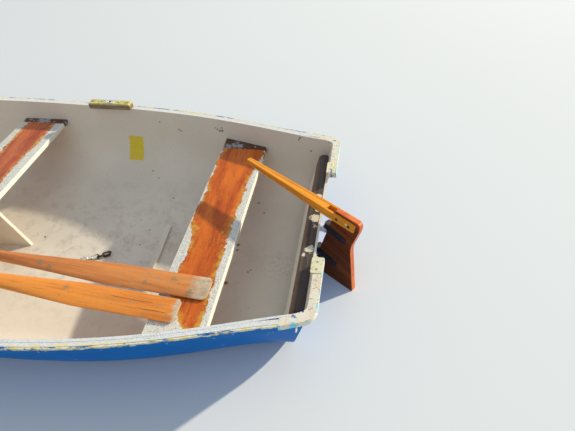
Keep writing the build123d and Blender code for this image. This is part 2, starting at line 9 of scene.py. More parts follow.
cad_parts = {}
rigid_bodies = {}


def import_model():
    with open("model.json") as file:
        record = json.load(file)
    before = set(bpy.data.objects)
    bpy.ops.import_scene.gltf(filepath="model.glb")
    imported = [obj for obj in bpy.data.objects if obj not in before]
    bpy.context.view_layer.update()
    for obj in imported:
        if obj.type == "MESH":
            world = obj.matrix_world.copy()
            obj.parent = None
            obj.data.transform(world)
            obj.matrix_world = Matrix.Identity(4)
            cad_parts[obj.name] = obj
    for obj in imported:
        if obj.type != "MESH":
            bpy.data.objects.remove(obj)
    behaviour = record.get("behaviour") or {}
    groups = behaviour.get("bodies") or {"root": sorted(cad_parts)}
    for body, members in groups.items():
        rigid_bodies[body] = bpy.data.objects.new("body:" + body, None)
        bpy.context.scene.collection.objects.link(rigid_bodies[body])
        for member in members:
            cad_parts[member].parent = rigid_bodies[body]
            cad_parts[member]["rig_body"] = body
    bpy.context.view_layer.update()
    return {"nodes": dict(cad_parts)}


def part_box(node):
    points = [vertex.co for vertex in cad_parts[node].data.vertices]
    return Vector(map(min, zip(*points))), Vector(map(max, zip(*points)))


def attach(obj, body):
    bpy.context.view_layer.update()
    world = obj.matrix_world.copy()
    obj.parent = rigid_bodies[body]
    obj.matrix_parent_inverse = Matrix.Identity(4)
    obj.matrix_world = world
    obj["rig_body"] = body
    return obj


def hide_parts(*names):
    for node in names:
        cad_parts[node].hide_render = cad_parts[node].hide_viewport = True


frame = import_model()

# The view: from above the port quarter, looking down and across the boat to starboard.
# The place, the lens and the tilt were fitted to the gunwale, the transom and the thwarts.
eye = Vector((-0.09216, 1.12112, 1.43535))
yaw, pitch, roll = 0.22316, 0.79595, -0.08021
level_ahead = Vector((sin(yaw), -cos(yaw), 0))
level_right = Vector((-cos(yaw), -sin(yaw), 0))
ahead = level_ahead * cos(pitch) - Vector((0, 0, sin(pitch)))
upright = level_ahead * sin(pitch) + Vector((0, 0, cos(pitch)))
right = level_right * cos(roll) + upright * sin(roll)
up = upright * cos(roll) - level_right * sin(roll)


def in_scene(name, data):
    made = bpy.data.objects.new(name, data)
    bpy.context.scene.collection.objects.link(made)
    return made


lens = bpy.data.cameras.new("camera")
lens.lens = 27.36
lens.sensor_width = 36
camera = in_scene("camera", lens)
camera.matrix_world = Matrix.Translation(eye) @ Matrix((right, up, -ahead)).transposed().to_4x4()
bpy.context.scene.camera = camera
bpy.context.scene.view_settings.view_transform = "Standard"

# The light: one far soft lamp, low over the starboard quarter, which throws the thwart's and
# the gunwale's shadows where they lie in the photo, and an even bluish sky that fills the shade.
boat_middle = Vector((1.2, 0, 0.1))
to_light = Vector((-1.82, -1.35, 1.0)).normalized()
light_distance = 30.0
lamp = bpy.data.lights.new("low_lamp", "AREA")
lamp.size = 0.8
lamp.energy = 11700
lamp.color = (1.0, 0.92, 0.73)
holder = in_scene("low_lamp", lamp)
holder.location = boat_middle + to_light * light_distance
holder.rotation_euler = (-to_light).to_track_quat("-Z", "Y").to_euler()

backdrop_tone = (0.83, 0.85, 0.87)
sky_tone, sky_strength = (0.78, 0.89, 1.0), 0.55


def feed(tree, socket, value):
    """Links a socket to another node's output, or gives it a value."""
    if isinstance(value, bpy.types.NodeSocket):
        tree.links.new(value, socket)
    elif socket.type == "RGBA" and len(value) == 3:
        socket.default_value = (*value, 1)
    else:
        socket.default_value = value


def add_node(tree, kind, inputs=None, **settings):
    """A new node with its settings, and its inputs fed by name or by number."""
    made = tree.nodes.new(kind)
    for key, value in settings.items():
        setattr(made, key, value)
    for key, value in (inputs or {}).items():
        feed(tree, made.inputs[key], value)
    return made


def seen_directly(tree):
    """1 for rays from the camera, in a mirror or through glass, and 0 for the light on a piece."""
    path = add_node(tree, "ShaderNodeLightPath").outputs
    share = path["Is Camera Ray"]
    for other in ("Is Glossy Ray", "Is Transmission Ray"):
        either = add_node(tree, "ShaderNodeMath", {0: share, 1: path[other]}, operation="MAXIMUM")
        share = either.outputs[0]
    return share


world = bpy.data.worlds.new("sky")
world.use_nodes = True
sky = world.node_tree
fill = sky.nodes["Background"]
feed(sky, fill.inputs["Color"], sky_tone)
feed(sky, fill.inputs["Strength"], sky_strength)
beyond = add_node(sky, "ShaderNodeBackground", {"Color": backdrop_tone})
either_sky = add_node(sky, "ShaderNodeMixShader",
                      {0: seen_directly(sky), 1: fill.outputs[0], 2: beyond.outputs[0]})
feed(sky, sky.nodes["World Output"].inputs["Surface"], either_sky.outputs[0])
bpy.context.scene.world = world


# Every finish is a node material whose patterns read Object coordinates or a measure stored on
# the piece, so they stay with it. A finish is built up in coats, from the ground outwards.
class Finish:
    def __init__(self, name):
        self.material = bpy.data.materials.new(name)
        self.material.use_nodes = True
        self.tree = self.material.node_tree
        self.shader = self.tree.nodes["Principled BSDF"]
        self.place = self.node("TexCoord").outputs["Object"]
        self.colour = None
        self.normal = None

    def node(self, kind, inputs=None, **settings):
        return add_node(self.tree, "ShaderNode" + kind, inputs, **settings)

    def math(self, operation, a, b=0.0):
        return self.node("Math", {0: a, 1: b}, operation=operation).outputs[0]

    def times(self, *factors):
        share = factors[0]
        for factor in factors[1:]:
            share = self.math("MULTIPLY", share, factor)
        return share

    def axis(self, letter):
        return self.node("SeparateXYZ", {0: self.place}).outputs[letter]

    def far_along(self, direction):
        """How far a place lies along a direction, in its length's measure."""
        return self.node("VectorMath", {0: self.place, 1: direction},
                         operation="DOT_PRODUCT").outputs["Value"]

    def away_from(self, centre):
        return self.node("VectorMath", {0: self.place, 1: centre}, operation="DISTANCE").outputs["Value"]

    def measure(self, name):
        """A distance in metres that dress() stored on the piece."""
        return self.node("Attribute", attribute_name=name).outputs["Fac"]

    def stretched(self, scale, shift=(0, 0, 0)):
        return self.node("Mapping", {"Vector": self.place, "Scale": scale, "Location": shift}).outputs[0]

    def grain_place(self, along, upward, coarse, across):
        """Coordinates that run slowly along a piece and fast across it, whichever way it lies."""
        along = Vector(along).normalized()
        side = Vector(upward).cross(along).normalized()
        upward = along.cross(side)
        return self.node("CombineXYZ", {"X": self.far_along(along * coarse),
                                        "Y": self.far_along(side * across),
                                        "Z": self.far_along(upward * across)}).outputs[0]

    def noise(self, scale, detail=4.0, roughness=0.55, place=None, distortion=0.0):
        return self.node("TexNoise", {"Vector": place or self.place, "Scale": scale, "Detail": detail,
                                      "Roughness": roughness, "Distortion": distortion}).outputs["Fac"]

    def band(self, value, low, high, to_low=0.0, to_high=1.0):
        """Rises smoothly from to_low to to_high as the value goes from low to high."""
        return self.node("MapRange", {"Value": value, "From Min": low, "From Max": high,
                                      "To Min": to_low, "To Max": to_high},
                         interpolation_type="SMOOTHSTEP").outputs["Result"]

    def marks(self, low, high, *noise):
        """Patches of noise: 0 where it is under low, and 1 where it is over high."""
        return self.band(self.noise(*noise), low, high)

    def mix(self, share, a, b):
        return self.node("Mix", {0: share, 6: a, 7: b}, data_type="RGBA", clamp_factor=True).outputs[2]

    def ragged(self, scale, reach, place=None):
        """A rough edge: up to half its reach either way."""
        return self.times(self.math("SUBTRACT", self.noise(scale, 8.0, 0.7, place), 0.5), reach)

    def rough(self, value, scale, reach):
        """A value made uneven, so that the band of it gets a ragged edge."""
        return self.math("ADD", value, self.ragged(scale, reach))

    def near(self, centre, inner, outer, edge=0.0):
        """1 inside a spot round a point, falling to 0 at its outer radius, with a ragged edge."""
        return self.band(self.math("ADD", self.away_from(centre), edge), inner, outer, 1.0, 0.0)

    def spots(self, places, inner, outer, reach, share=0.0):
        """The most of share and of each spot of (x, y, z, radius), with edges as rough as reach."""
        edge = self.ragged(110, reach)
        for *centre, radius in places:
            share = self.math("MAXIMUM", share, self.near(centre, radius * inner, radius * outer, edge))
        return share

    def profile(self, value, points, most):
        """A width in metres that changes along a piece: points of (place, width)."""
        low, high = points[0][0], points[-1][0]
        share = self.node("MapRange", {"Value": value, "From Min": low, "From Max": high})
        made = self.node("FloatCurve", {"Value": share.outputs["Result"]})
        curve = made.mapping.curves[0]
        for _ in points[2:]:
            curve.points.new(0.5, 0.5)
        for point, (at, width) in zip(curve.points, points):
            point.location = ((at - low) / (high - low), width / most)
            point.handle_type = "VECTOR"
        made.mapping.update()
        return self.times(made.outputs[0], most)

    def bump(self, height, distance, strength=1.0):
        inputs = {"Height": height, "Distance": distance, "Strength": strength}
        if self.normal is not None:
            inputs["Normal"] = self.normal
        self.normal = self.node("Bump", inputs).outputs["Normal"]

    def ground(self, share, one, other):
        """The first coat: one tone where share is 0, and the other where it is 1."""
        self.colour = self.mix(share, one, other)

    def over(self, share, colour, strength=None):
        """A coat over the ones before, where share is 1, as strong as its strength."""
        self.colour = self.mix(self.times(share, strength) if strength else share, self.colour, colour)

    def done(self, roughness, metallic=0.0, coat=0.0, shine=0.5):
        surface = {"Base Color": self.colour, "Roughness": roughness, "Metallic": metallic,
                   "Specular IOR Level": shine, "Coat Weight": coat, "Coat Roughness": 0.25}
        if self.normal is not None:
            surface["Normal"] = self.normal
        for name, value in surface.items():
            feed(self.tree, self.shader.inputs[name], value)
        return self.material


# The floor: a pale surface at the waterline, with an opening that follows the hull's section
# there, so that the inside of the boat below the waterline stays open to view.
floor_radius = 16.0
floor_steps = 96
fade_from, fade_to = 3.5, 9.0
shore_steps = 72
shore_gap = 0.004
least_half = 0.002
inset = 1e-4


def waterline_half(x):
    """The hull's half breadth at z = 0, read from the edges of the hull that cross it."""
    widest = 0.0
    for a, b in crossing:
        low, high = sorted((a, b), key=lambda p: p.x)
        if low.x <= x <= high.x and high.x > low.x:
            share = (x - low.x) / (high.x - low.x)
            widest = max(widest, abs(low.y + (high.y - low.y) * share))
    return widest


def as_mesh(name, shape):
    mesh = bpy.data.meshes.new(name)
    shape.to_mesh(mesh)
    shape.free()
    return mesh


section = bmesh.new()
section.from_mesh(frame["nodes"]["hull_shell"].data)
cut = bmesh.ops.bisect_plane(section, geom=section.verts[:] + section.edges[:] + section.faces[:],
                             plane_co=(0, 0, 0), plane_no=(0, 0, 1))
crossing = [tuple(v.co.copy() for v in e.verts) for e in cut["geom_cut"]
            if isinstance(e, bmesh.types.BMEdge)]
section.free()
ends = [p.x for edge in crossing for p in edge]
aft_end, fore_end = min(ends), max(ends)
port_shore = []
for i in range(shore_steps + 1):
    share = (1 - cos(pi * i / shore_steps)) / 2
    x = aft_end + (fore_end - aft_end) * share
    half = waterline_half(min(max(x, aft_end + inset), fore_end - inset))
    port_shore.append(Vector((x, max(half - shore_gap, least_half), 0)))
shore = port_shore + [Vector((p.x, -p.y, 0)) for p in reversed(port_shore)]
turns = [2 * pi * i / floor_steps for i in range(floor_steps)]
rim = [Vector((floor_radius * cos(turn) + boat_middle.x, floor_radius * sin(turn), 0)) for turn in turns]
sheet = bmesh.new()
edges = []
for loop in (shore, rim):
    corners = [sheet.verts.new(p) for p in loop]
    edges += [sheet.edges.new((corners[i], corners[i - 1])) for i in range(len(corners))]
bmesh.ops.triangle_fill(sheet, edges=edges, use_beauty=True, use_dissolve=False)
for face in sheet.faces:
    if face.normal.z < 0:
        face.normal_flip()
floor = in_scene("floor", as_mesh("floor", sheet))
pale = Finish("pale_floor")
pale.ground(pale.noise(0.8), (0.77, 0.79, 0.82), (0.75, 0.77, 0.80))
pale.done(0.9, shine=0.0)
far_out = pale.band(pale.away_from(boat_middle), fade_from, fade_to)
glow = pale.node("Emission", {"Color": backdrop_tone, "Strength": 1.0})
either_floor = pale.node("MixShader", {0: pale.times(far_out, seen_directly(pale.tree)),
                                       1: pale.shader.outputs[0], 2: glow.outputs[0]})
feed(pale.tree, pale.tree.nodes["Material Output"].inputs["Surface"], either_floor.outputs[0])
floor.data.materials.append(pale.material)

# The hull: one hand-laid moulding with a flange turned out along its edge. The inside is warm
# white gelcoat, peppered and scuffed, and the outside is royal blue gelcoat gone dull.
length, beam, transom_beam = 3.150, 1.380, 0.898
beam_station = 0.4825 * length


def half_beam(x):
    """Half the width of the rim at a place along the hull, as in the CAD."""
    if x < beam_station:
        return beam / 2 - (beam - transom_beam) / 2 * (1 - max(x, 0) / beam_station) ** 2.1
    return beam / 2 * (1 - ((x - beam_station) / (length - beam_station)) ** 2.6)


def sheer(x):
    """The height of the rim's top at a place along the hull, as in the CAD."""
    low, low_station = 0.278, length / 3
    if x < low_station:
        return low + 0.022 * ((low_station - x) / low_station) ** 2
    return low + 0.142 * ((x - low_station) / (length - low_station)) ** 2.5


def below_sheer(place):
    return sheer(place.x) - place.z


def inside_edge(place):
    return half_beam(place.x) - abs(place.y)


same_place = 1e-5
inner_side, flange_side, outer_side = 0, 1, 2


def aboard(name, mesh, body="boat"):
    """A new piece of a mesh, which moves with its body."""
    piece = in_scene(name, mesh)
    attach(piece, body)
    return piece


def dress(node, finishes, choose=None, crease=35, flat=False, measures=(), unsmoothed=None):
    """A smooth, joined copy of a CAD node with its own finishes, which stands for the node.
    choose gives the number of each face's finish, and the faces of the finish unsmoothed stay
    as they are. Each measure is a function of a point, and its value is stored at the point for
    the finish to read."""
    source = frame["nodes"][node]
    shape = bmesh.new()
    shape.from_mesh(source.data)
    bmesh.ops.remove_doubles(shape, verts=shape.verts, dist=same_place)
    if flat:
        bmesh.ops.dissolve_limit(shape, angle_limit=radians(1), verts=shape.verts, edges=shape.edges)
    mesh = as_mesh(node + "_finished", shape)
    for name in ("custom_normal", "sharp_edge", "sharp_face"):
        if name in mesh.attributes:
            mesh.attributes.remove(mesh.attributes[name])
    mesh.materials.clear()
    for finish in finishes:
        mesh.materials.append(finish)
    for face in mesh.polygons:
        face.material_index = choose(face) if choose else 0
        face.use_smooth = face.material_index != unsmoothed
    mesh.set_sharp_from_angle(angle=radians(crease))
    for worth in measures:
        stored = mesh.attributes.new(worth.__name__, "FLOAT", "POINT")
        stored.data.foreach_set("value", [worth(v.co) for v in mesh.vertices])
    piece = aboard(node + "_finished", mesh, source["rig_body"])
    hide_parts(node)
    return piece


def softened(piece, width, segments=2):
    """Rounds a piece's sharp edges as handling and sanding do."""
    worn = piece.modifiers.new("worn edges", "BEVEL")
    worn.width = width
    worn.segments = segments
    worn.limit_method = "ANGLE"
    worn.angle_limit = radians(40)
    return piece


def hull_side(face):
    """Whether a face of the hull is inside, on top of the flange or outside."""
    x, y, z = face.center
    faces_up, faces_down = face.normal.z > 0.7, face.normal.z < -0.7
    if faces_up and z > sheer(x) - 0.012:
        return flange_side
    if faces_up and z > 0.24 and x < 0.1:
        return inner_side
    if faces_down and z > 0.2:
        return outer_side
    core = Vector((min(max(x, 0.35), 2.6), 0, 0.15))
    return outer_side if face.normal.dot(Vector((x, y, z)) - core) > 0 else inner_side


inside = Finish("gelcoat_inside")
cloud = inside.noise(2.4, 3.0, 0.5)
inside.ground(inside.band(cloud, 0.3, 0.7), (0.795, 0.73, 0.63), (0.735, 0.67, 0.575))
grain = inside.noise(330, 3.0, 0.6)
inside.over(inside.band(grain, 0.50, 0.70), (0.55, 0.46, 0.36), 0.30)
inside.over(inside.marks(0.70, 0.74, 120, 2.0, 0.5), (0.30, 0.25, 0.20), 0.55)
dirt = inside.times(inside.band(inside.axis("Z"), 0.0, -0.075), inside.marks(0.46, 0.66, 18, 8.0, 0.72))
inside.over(dirt, (0.44, 0.35, 0.26), 0.42)
stern_dirt = inside.times(inside.near((0.20, 0.03, -0.024), 0.02, 0.12),
                          inside.marks(0.5, 0.62, 60, 6.0, 0.7))
inside.over(stern_dirt, (0.38, 0.29, 0.20), 0.35)
# Knocks in the gelcoat: the place and the radius of each.
knocks = [(0.924, -0.619, 0.221, 0.006), (0.823, -0.604, 0.193, 0.008), (0.812, -0.602, 0.187, 0.007),
          (0.618, -0.573, 0.236, 0.007), (0.606, -0.571, 0.228, 0.007), (0.594, -0.569, 0.222, 0.009),
          (0.580, -0.566, 0.226, 0.010), (0.580, -0.567, 0.240, 0.006), (0.819, -0.345, -0.040, 0.008),
          (0.981, -0.500, -0.007, 0.006), (0.938, -0.465, -0.021, 0.005), (0.131, -0.443, 0.228, 0.006),
          (0.182, -0.465, 0.280, 0.008), (0.188, -0.465, 0.270, 0.005), (0.369, -0.320, -0.004, 0.009),
          (0.332, -0.259, -0.006, 0.008), (0.414, -0.077, -0.034, 0.012), (0.412, -0.050, -0.037, 0.009),
          (0.334, 0.071, -0.024, 0.006), (0.326, 0.060, -0.024, 0.005), (0.937, -0.196, -0.059, 0.005),
          (0.873, -0.143, -0.065, 0.005), (0.780, -0.146, -0.063, 0.008), (0.770, -0.138, -0.063, 0.006),
          (0.888, -0.056, -0.076, 0.006), (1.374, -0.048, -0.074, 0.008), (1.30, -0.30, -0.06, 0.005),
          (0.70, 0.22, -0.05, 0.006), (1.9, -0.2, -0.06, 0.007), (2.0, 0.3, -0.03, 0.006)]
worn = inside.spots(knocks, 0.35, 0.8, 0.018)
inside.over(worn, (0.075, 0.055, 0.045), 0.88)
rust = inside.near((0.413, 0.134, -0.029), 0.004, 0.014, inside.ragged(110, 0.02))
inside.over(rust, (0.30, 0.09, 0.03))
# A ragged patch of yellow paint on the starboard side.
patch_edge = inside.ragged(70, 0.014)
patch_x = inside.math("ADD", inside.axis("X"), patch_edge)
patch_z = inside.math("ADD", inside.axis("Z"), patch_edge)
patch = inside.times(inside.band(patch_x, 1.043, 1.047), inside.band(patch_x, 1.127, 1.123),
                     inside.band(patch_z, 0.020, 0.024), inside.band(patch_z, 0.128, 0.124),
                     inside.band(inside.axis("Y"), -0.30, -0.34),
                     inside.marks(0.28, 0.36, 130, 4.0, 0.6))
inside.over(patch, inside.mix(inside.noise(60), (0.84, 0.66, 0.035), (0.66, 0.50, 0.03)))
inside.bump(grain, 0.0006, 0.5)
inside.bump(worn, 0.0008, 0.5)
gelcoat_inside = inside.done(inside.band(cloud, 0.3, 0.7, 0.45, 0.62))

flange = Finish("flange_top")
grit = flange.noise(210, 4.0, 0.65)
flange.ground(flange.band(grit, 0.45, 0.68), (0.81, 0.82, 0.82), (0.57, 0.56, 0.54))
rough_edge = flange.rough(flange.measure("inside_edge"), 60, 0.02)
chips = flange.times(flange.band(rough_edge, 0.013, 0.010), flange.marks(0.44, 0.52, 48, 8.0, 0.7))
flange.over(chips, (0.84, 0.74, 0.42))
rubbed = flange.marks(0.66, 0.70, 40, 8.0, 0.72, flange.stretched((0.3, 1, 1), (3, 1, 2)))
flange.over(rubbed, (0.08, 0.16, 0.34), 0.7)
flange.bump(grit, 0.0009, 0.6)
flange_top = flange.done(0.62)

outside = Finish("gelcoat_outside")
fade = outside.noise(5, 6.0, 0.65, outside.stretched((0.4, 1, 1)))
outside.ground(outside.band(fade, 0.3, 0.75), (0.001, 0.130, 0.46), (0.003, 0.180, 0.56))
runs = outside.marks(0.55, 0.62, 30, 8.0, 0.7, outside.stretched((0.12, 1, 1)))
high = outside.band(outside.measure("below_sheer"), 0.11, 0.04)
outside.over(outside.times(runs, high), (0.006, 0.06, 0.24), 0.45)
scrapes = outside.marks(0.66, 0.70, 46, 8.0, 0.7, outside.stretched((0.22, 1, 1)))
outside.over(scrapes, (0.74, 0.70, 0.52), 0.75)
slime = outside.band(outside.rough(outside.axis("Z"), 12, 0.06), 0.035, 0.0)
outside.over(slime, (0.05, 0.12, 0.16), 0.55)
outside.bump(outside.noise(150, 2.0), 0.0005, 0.4)
gelcoat_blue = outside.done(outside.band(fade, 0.3, 0.7, 0.34, 0.50), shine=0.1)

dress("hull_shell", [gelcoat_inside, flange_top, gelcoat_blue], hull_side, 30,
      measures=(below_sheer, inside_edge), unsmoothed=flange_side)


# The fastenings: slotted screw heads, one instance on each point, set square to the surface that
# they hold and turned as the driver left them. The node tree is made once.
def head_tree():
    tree = bpy.data.node_groups.new("screw_heads", "GeometryNodeTree")
    for name, kind in (("Geometry", "Geometry"), ("Head radius", "Float"), ("Head height", "Float"),
                       ("Slot width", "Float"), ("Finish", "Material")):
        tree.interface.new_socket(name, in_out="INPUT", socket_type="NodeSocket" + kind)
    tree.interface.new_socket("Geometry", in_out="OUTPUT", socket_type="NodeSocketGeometry")
    given = tree.nodes.new("NodeGroupInput").outputs

    def node(kind, inputs=None, **settings):
        return add_node(tree, kind, inputs, **settings)

    def times(value, factor):
        return node("ShaderNodeMath", {0: value, 1: factor}, operation="MULTIPLY").outputs[0]

    head = node("GeometryNodeMeshCone", {
        "Vertices": 18, "Depth": given["Head height"], "Radius Bottom": given["Head radius"],
        "Radius Top": times(given["Head radius"], 0.68)}, fill_type="NGON")
    slot_size = node("ShaderNodeCombineXYZ", {
        "X": times(given["Head radius"], 3.0), "Y": given["Slot width"], "Z": given["Head height"]})
    cutter = node("GeometryNodeMeshCube", {"Size": slot_size.outputs[0]})
    rise = node("ShaderNodeCombineXYZ", {"Z": times(given["Head height"], 1.1)})
    lifted = node("GeometryNodeTransform", {
        "Geometry": cutter.outputs["Mesh"], "Translation": rise.outputs[0]})
    slotted = node("GeometryNodeMeshBoolean", {
        "Mesh 1": head.outputs["Mesh"], "Mesh 2": lifted.outputs["Geometry"]}, operation="DIFFERENCE")
    outward = node("GeometryNodeInputNamedAttribute", {"Name": "outward"}, data_type="FLOAT_VECTOR")
    square = node("FunctionNodeAlignRotationToVector", {"Vector": outward.outputs["Attribute"]}, axis="Z")
    placed = node("GeometryNodeInstanceOnPoints", {
        "Points": given["Geometry"], "Instance": slotted.outputs["Mesh"],
        "Rotation": square.outputs["Rotation"]})
    turn = node("FunctionNodeRandomValue", data_type="FLOAT")
    limits = {socket.name: socket for socket in turn.inputs if socket.enabled}
    limits["Min"].default_value, limits["Max"].default_value = 0.0, pi
    limits["Seed"].default_value = 11
    spin = node("ShaderNodeCombineXYZ", {"Z": next(socket for socket in turn.outputs if socket.enabled)})
    turned = node("GeometryNodeRotateInstances", {
        "Instances": placed.outputs["Instances"], "Rotation": spin.outputs[0], "Local Space": True})
    real = node("GeometryNodeRealizeInstances", {"Geometry": turned.outputs["Instances"]})
    finished = node("GeometryNodeSetMaterial", {
        "Geometry": real.outputs["Geometry"], "Material": given["Finish"]})
    node("NodeGroupOutput", {"Geometry": finished.outputs["Geometry"]})
    return tree


screw_heads = head_tree()
surfaces = {}


def on_surface(node, start, way):
    """Where a line from start meets a CAD node, and the way out of its surface there."""
    if node not in surfaces:
        data = frame["nodes"][node].data
        surfaces[node] = BVHTree.FromPolygons([v.co for v in data.vertices],
                                              [p.vertices for p in data.polygons])
    place, normal, _, _ = surfaces[node].ray_cast(Vector(start), Vector(way).normalized())
    if place is None:
        raise ValueError(f"no surface of {node} on the line from {tuple(start)}")
    return place, normal if normal.dot(Vector(way)) < 0 else -normal


def made_plain(made):
    """The mesh that an object's modifiers or its curve come to. The object itself goes."""
    bpy.context.view_layer.update()
    mesh = bpy.data.meshes.new_from_object(made.evaluated_get(bpy.context.evaluated_depsgraph_get()))
    bpy.data.objects.remove(made)
    return mesh


def down(node, x, y):
    """A line straight down on to a node."""
    return node, (x, y, 1.0), (0, 0, -1)


def fasteners(name, lines, finish, radius, height, slot_width=0.0012, body="boat"):
    """Screw heads on a node, each where a line of (node, start, way) meets it."""
    met = [on_surface(*line) for line in lines]
    sunk = 0.0003
    points = bpy.data.meshes.new(name)
    points.from_pydata([place - out * sunk for place, out in met], [], [])
    outward = points.attributes.new("outward", "FLOAT_VECTOR", "POINT")
    outward.data.foreach_set("vector", [c for _, out in met for c in out])
    spread = in_scene(name, points)
    modifier = spread.modifiers.new("heads", "NODES")
    modifier.node_group = screw_heads
    values = {"Head radius": radius, "Head height": height, "Slot width": slot_width, "Finish": finish}
    for item in screw_heads.interface.items_tree:
        if item.in_out == "INPUT" and item.name in values:
            modifier[item.identifier] = values[item.name]
    aboard(name, made_plain(spread), body)


def metal(name, pale_tone, dark_tone, roughness, metallic, stain=None):
    """Dull, uneven metal, darker where it is handled least, with a stain where it has one."""
    made = Finish(name)
    patchy = made.noise(60, 6.0, 0.65)
    made.ground(made.band(patchy, 0.35, 0.65), pale_tone, dark_tone)
    if stain:
        made.over(made.marks(0.54, 0.62, 34, 8.0, 0.7), stain, 0.8)
    made.bump(made.noise(400, 2.0), 0.0003, 0.4)
    return made.done(made.band(patchy, 0.3, 0.7, roughness - 0.08, roughness + 0.12), metallic)


galvanised = metal("galvanised_steel", (0.76, 0.77, 0.78), (0.50, 0.51, 0.52), 0.40, 0.75)
tarnished = metal("tarnished_strap", (0.055, 0.055, 0.065), (0.02, 0.02, 0.022), 0.45, 0.5,
                  (0.10, 0.045, 0.02))
brass = metal("worn_brass", (0.62, 0.50, 0.24), (0.30, 0.24, 0.14), 0.38, 0.9)
rusty = metal("rusty_iron", (0.10, 0.055, 0.035), (0.045, 0.035, 0.03), 0.7, 0.3, (0.22, 0.09, 0.03))
painted_screw = metal("painted_screw", (0.02, 0.22, 0.60), (0.30, 0.36, 0.42), 0.4, 0.2)

# The keel strip with its skeg, and the two bilge runners: blue like the hull's bottom, worn to
# white along their soles where the boat is dragged up a beach, and screwed from below.
skeg_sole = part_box("keel_strip")[0].z
skeg_fore = 0.45
runner_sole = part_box("bilge_runner_port")[0].z
sides = (("port", 1), ("starboard", -1))


def above_sole(place):
    """Height over the flat sole of the skeg or the runner that the point is on."""
    on_skeg = abs(place.y) < 0.1 and place.x < skeg_fore
    return place.z - (skeg_sole if on_skeg else runner_sole)


keel_paint = Finish("keel_paint")
scuffed = keel_paint.marks(0.47, 0.58, 36, 8.0, 0.7, keel_paint.stretched((0.25, 1, 1)))
sole = keel_paint.band(keel_paint.measure("above_sole"), 0.016, 0.002)
keel_paint.ground(keel_paint.times(scuffed, sole), (0.012, 0.17, 0.52), (0.72, 0.69, 0.60))
keel_paint.bump(scuffed, 0.0006, 0.5)
keel_blue = keel_paint.done(0.45, coat=0.1)
for node in ("keel_strip", "bilge_runner_port", "bilge_runner_starboard"):
    softened(dress(node, [keel_blue], measures=(above_sole,)), 0.0015)
from_below, upwards = -0.5, (0, 0, 1)
keel_lines = [("bilge_runner_" + word, (1.0 + 0.165 * i, side * 0.25, from_below), upwards)
              for i in range(7) for word, side in sides]
keel_lines += [("keel_strip", (0.62 + 0.24 * i, 0, from_below), upwards) for i in range(4)]
fasteners("keel_screws", keel_lines, brass, radius=0.005, height=0.0014)

# The rubbing strakes: a thin blue strip along each side of the flange, chipped through to cream
# and yellow undercoat all along its upper edge, with small screws under the paint.
strake = Finish("strake_paint")
drop = strake.rough(strake.measure("below_sheer"), 46, 0.036)
long_marks = strake.marks(0.44, 0.49, 44, 8.0, 0.72, strake.stretched((0.3, 1, 1)))
chipped = strake.times(strake.band(drop, 0.0115, 0.0065), long_marks)
strake.ground(strake.noise(14), (0.001, 0.125, 0.45), (0.003, 0.175, 0.54))
streaks = strake.noise(70, 8.0, 0.7, strake.stretched((0.18, 1, 1), (1, 5, 2)))
strake.over(strake.band(streaks, 0.63, 0.67), (0.80, 0.72, 0.38))
cream = strake.mix(strake.marks(0.42, 0.6, 50, 4.0), (0.86, 0.82, 0.66), (0.80, 0.66, 0.26))
strake.over(chipped, cream)
strake.bump(chipped, 0.0008, 0.6)
strake_blue = strake.done(0.45, shine=0.1)
strake_lines = []
for word, side in sides:
    node = "strake_" + word
    softened(dress(node, [strake_blue], measures=(below_sheer,)), 0.0012)
    strake_lines += [(node, (x, side, sheer(x) - 0.018), (0, -side, 0))
                     for x in (0.24 + 0.19 * i for i in range(14))]
fasteners("strake_screws", strake_lines, painted_screw, radius=0.0042, height=0.0012,
          slot_width=0.0009)


# The corner caps and the bow cap: cream mouldings over the ends of the rim, each ending in a
# block, with the last of a cyan and blue coat along the outer edge and in the inner corner.
def from_edge(place):
    """How far in from the outer edge of a corner cap a point is."""
    on_bow_cap = place.x > 1
    return 0.02 if on_bow_cap else min(abs(place.x), half_beam(place.x) - abs(place.y))


cap = Finish("cap_paint")
rough_edge = cap.rough(cap.measure("from_edge"), 50, 0.022)
cap.ground(cap.marks(0.3, 0.7, 12), (0.86, 0.72, 0.56), (0.84, 0.80, 0.68))
block_share = cap.band(cap.math("ABSOLUTE", cap.axis("Y")), 0.292, 0.284)
cap.over(block_share, cap.mix(cap.noise(60), (0.88, 0.82, 0.60), (0.74, 0.68, 0.46)))
yellowed = cap.marks(0.56, 0.64, 40, 6.0, 0.7)
cap.over(yellowed, (0.80, 0.62, 0.26), 0.8)
cyan = cap.times(cap.band(rough_edge, 0.0050, 0.0035), cap.marks(0.51, 0.54, 38, 8.0, 0.7))
cap.over(cyan, (0.22, 0.66, 0.78))
royal = cap.times(cap.marks(0.57, 0.60, 36, 8.0, 0.72), cap.band(rough_edge, 0.014, 0.020))
cap.over(royal, (0.02, 0.16, 0.50))
cracks = cap.math("ABSOLUTE", cap.math("SUBTRACT", cap.noise(26, 3.0, 0.5), 0.5))
cap.over(cap.band(cracks, 0.008, 0.003, 0.0, 0.7), (0.22, 0.15, 0.10))
cap.bump(yellowed, 0.0008, 0.5)
cap_cream = cap.done(0.55)
for node in ("corner_cap_port", "corner_cap_starboard", "bow_cap"):
    softened(dress(node, [cap_cream], measures=(from_edge,)), 0.0025, 3)
cap_lines = [down("corner_cap_" + word, 0.020, side * y) for word, side in sides for y in (0.236, 0.266)]
cap_lines += [down("bow_cap", 3.085, y) for y in (-0.045, 0.045)]
fasteners("cap_screws", cap_lines, brass, radius=0.0045, height=0.0012)


# Wood: long grain along the piece, with darker figure, pores and fine lines. Paint or weather
# goes over it in further coats, which can follow the grain's own coordinates, lie.
def shade(tone, share):
    return tuple(part * share for part in tone)


